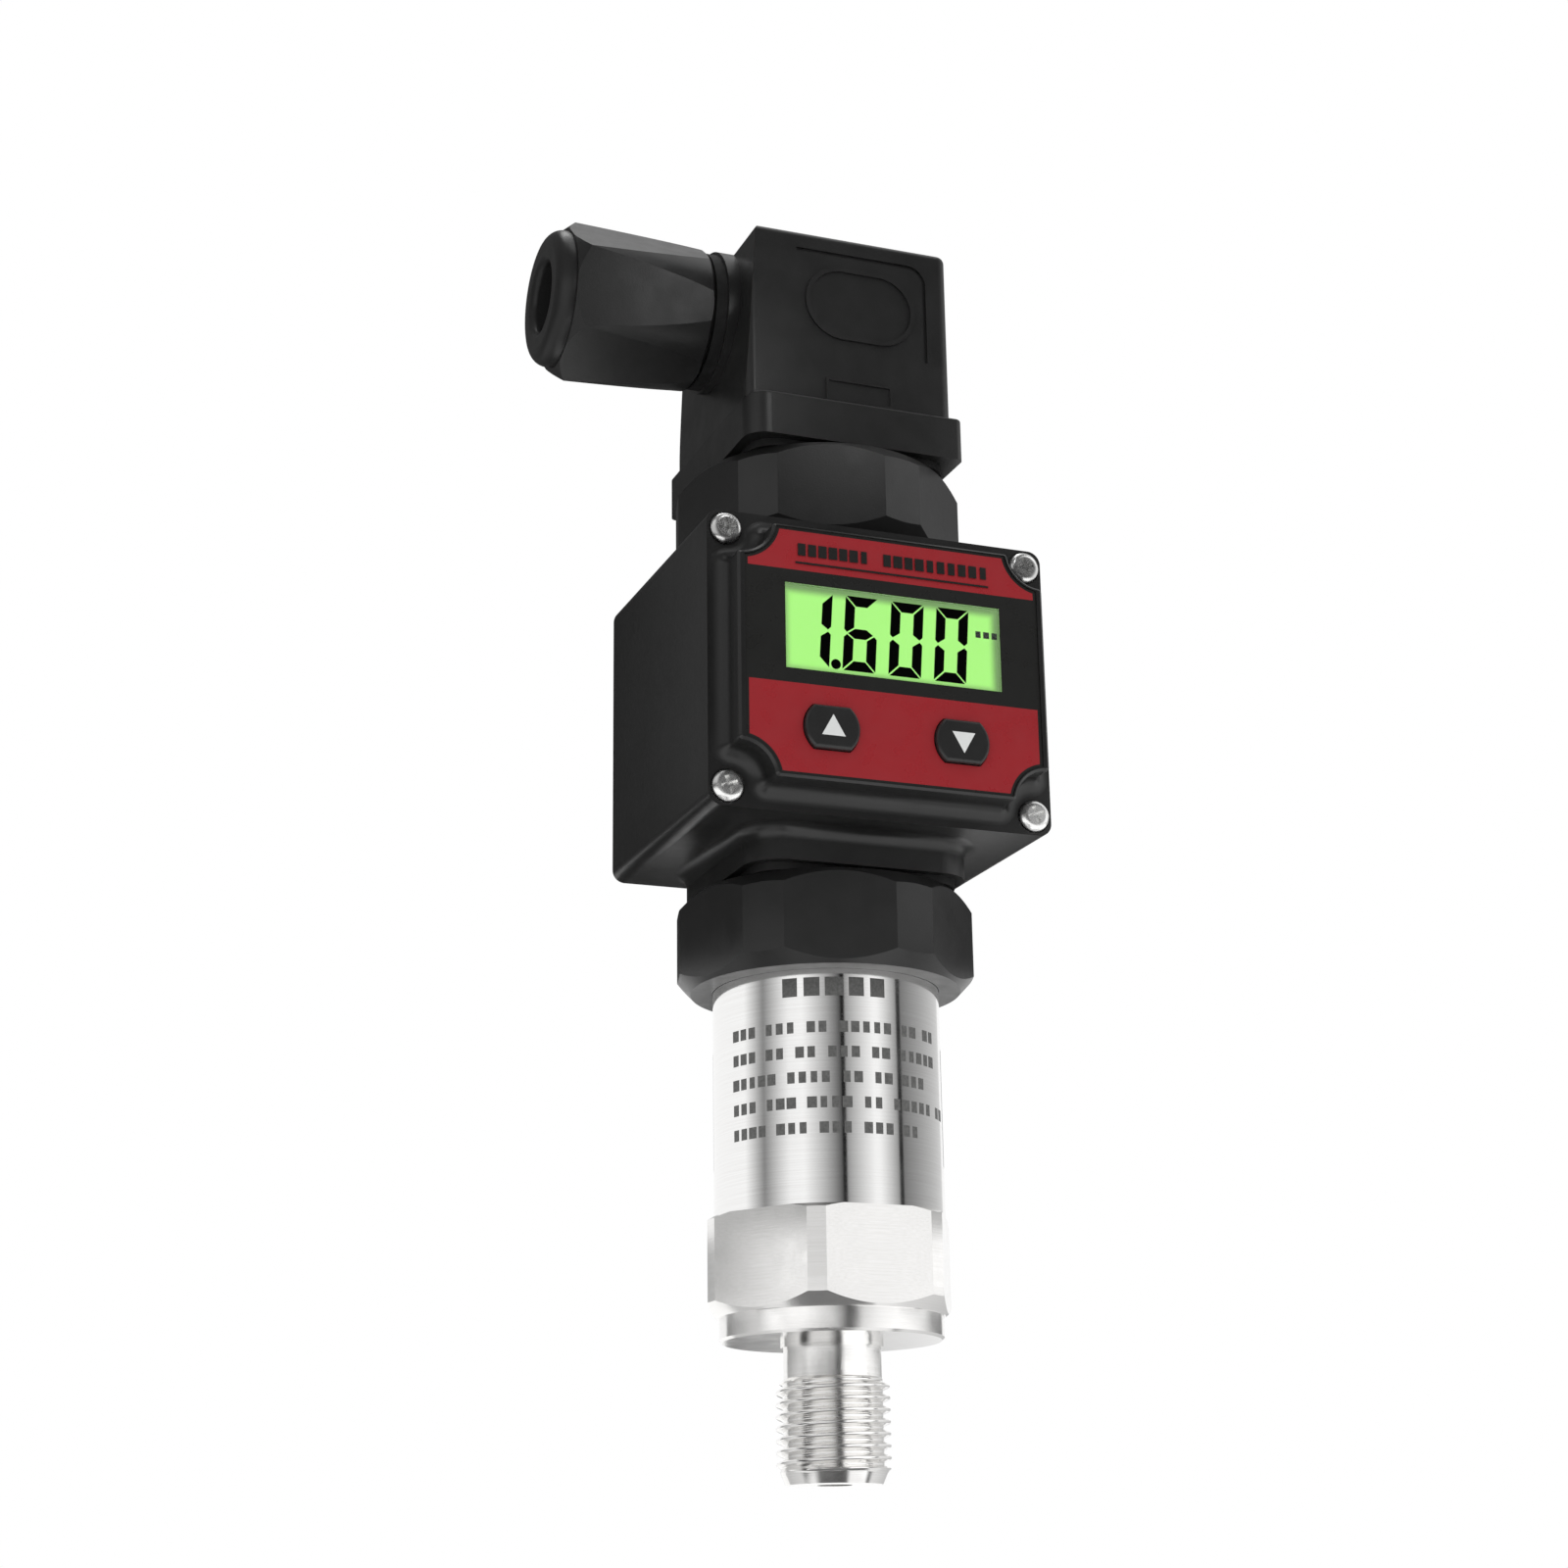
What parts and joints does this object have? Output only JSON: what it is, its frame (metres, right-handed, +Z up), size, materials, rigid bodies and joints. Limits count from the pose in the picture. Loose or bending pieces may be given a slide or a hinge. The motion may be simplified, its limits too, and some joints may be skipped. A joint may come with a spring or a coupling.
{
  "type": "pressure transmitter",
  "caption": "Threaded pressure transmitter with a plug-on display box, two push keys and a side-entry cable plug.",
  "frame": {"origin": "centre of the pressure port's mouth at the stem's tip", "axes": "+Z up the transmitter's axis towards the plug, -Y the way the display looks, -X the way the cable gland points"},
  "size_m": [0.058, 0.0417, 0.153],
  "materials": {
    "steel_turned": "turned stainless steel, satin",
    "steel_tube": "drawn stainless tube, polished",
    "plastic_black": "moulded glass-filled nylon, fine satin",
    "plastic_cover": "moulded cover, fine satin",
    "rubber_black": "moulded rubber",
    "ceramic_white": "sintered alumina",
    "board_green": "solder-masked board",
    "chip_black": "moulded chip body",
    "ribbon_amber": "polyimide film",
    "contact_tin": "tinned brass",
    "screw_zinc": "bright zinc plate",
    "insert_grey": "moulded polyamide insert",
    "label_black": "printed polyester film",
    "label_red": "printed polyester film",
    "window_clear": "clear acrylic",
    "lcd_field": "liquid crystal cell lit from behind",
    "lcd_dark": "dark crystal segments",
    "backlight_white": "light guide",
    "key_grey": "moulded key",
    "arrow_white": "white inlay"
  },
  "bodies": {
    "transmitter": {"process_fitting": "steel_turned", "sensor_seal_ring": "rubber_black", "pressure_sensor_cell": "ceramic_white", "sensor_clamp_ring": "steel_turned", "body_tube": "steel_tube", "amplifier_board": "board_green", "amplifier_chips": "chip_black", "sensor_ribbon": "ribbon_amber", "lower_union_nut": "plastic_black", "lower_socket_base": "insert_grey", "lower_base_blades": "contact_tin", "tube_seal_ring": "rubber_black", "lower_gasket": "rubber_black", "lower_contact_block": "insert_grey", "lower_contacts": "contact_tin", "display_fixing_screw": "screw_zinc", "display_housing": "plastic_black", "display_cover": "plastic_cover", "cover_gasket": "rubber_black", "cover_screws": "screw_zinc", "front_label": "label_black", "label_red_fields": "label_red", "lcd_window": "window_clear", "lcd_glass": "lcd_field", "lcd_segments": "lcd_dark", "lcd_backlight": "backlight_white", "display_board": "board_green", "display_chips": "chip_black", "key_switches": "chip_black", "upper_union_nut": "plastic_black", "upper_socket_base": "insert_grey", "upper_base_blades": "contact_tin", "collar_seal_ring": "rubber_black", "plug_gasket": "rubber_black", "plug_housing": "plastic_black", "plug_contact_block": "insert_grey", "plug_contacts": "contact_tin", "terminal_screws": "screw_zinc", "central_screw": "screw_zinc", "central_screw_seal": "rubber_black", "gland_grommet": "rubber_black", "gland_ring": "rubber_black"},
    "up_key": {"up_button": "key_grey", "up_arrow_mark": "arrow_white"},
    "down_key": {"down_button": "key_grey", "down_arrow_mark": "arrow_white"},
    "gland_follower": {"gland_washer": "insert_grey"},
    "gland_nut": {"gland_nut": "plastic_black"}
  },
  "joints": [
    {"name": "up_key_press", "type": "slide", "parent": "transmitter", "child": "up_key", "axis": [0, 1, 0], "range_m": [0, 0.0008], "stiffness_N_per_m": 1200, "springref_m": -0.0005},
    {"name": "down_key_press", "type": "slide", "parent": "transmitter", "child": "down_key", "axis": [0, 1, 0], "range_m": [0, 0.0008], "stiffness_N_per_m": 1200, "springref_m": -0.0005},
    {"name": "gland_travel", "type": "slide", "parent": "transmitter", "child": "gland_follower", "axis": [1, 0, 0], "range_m": [-0.0042, 0]},
    {"name": "gland_nut_turn", "type": "hinge", "parent": "gland_follower", "child": "gland_nut", "pos_m": [-0.0253, 0, 0.1432], "axis": [1, 0, 0], "range_deg": [-1080, 0]}
  ],
  "couplings": [
    {"joint": "gland_nut_turn", "follows": "gland_travel", "rad_per_m": 4456.2}
  ]
}
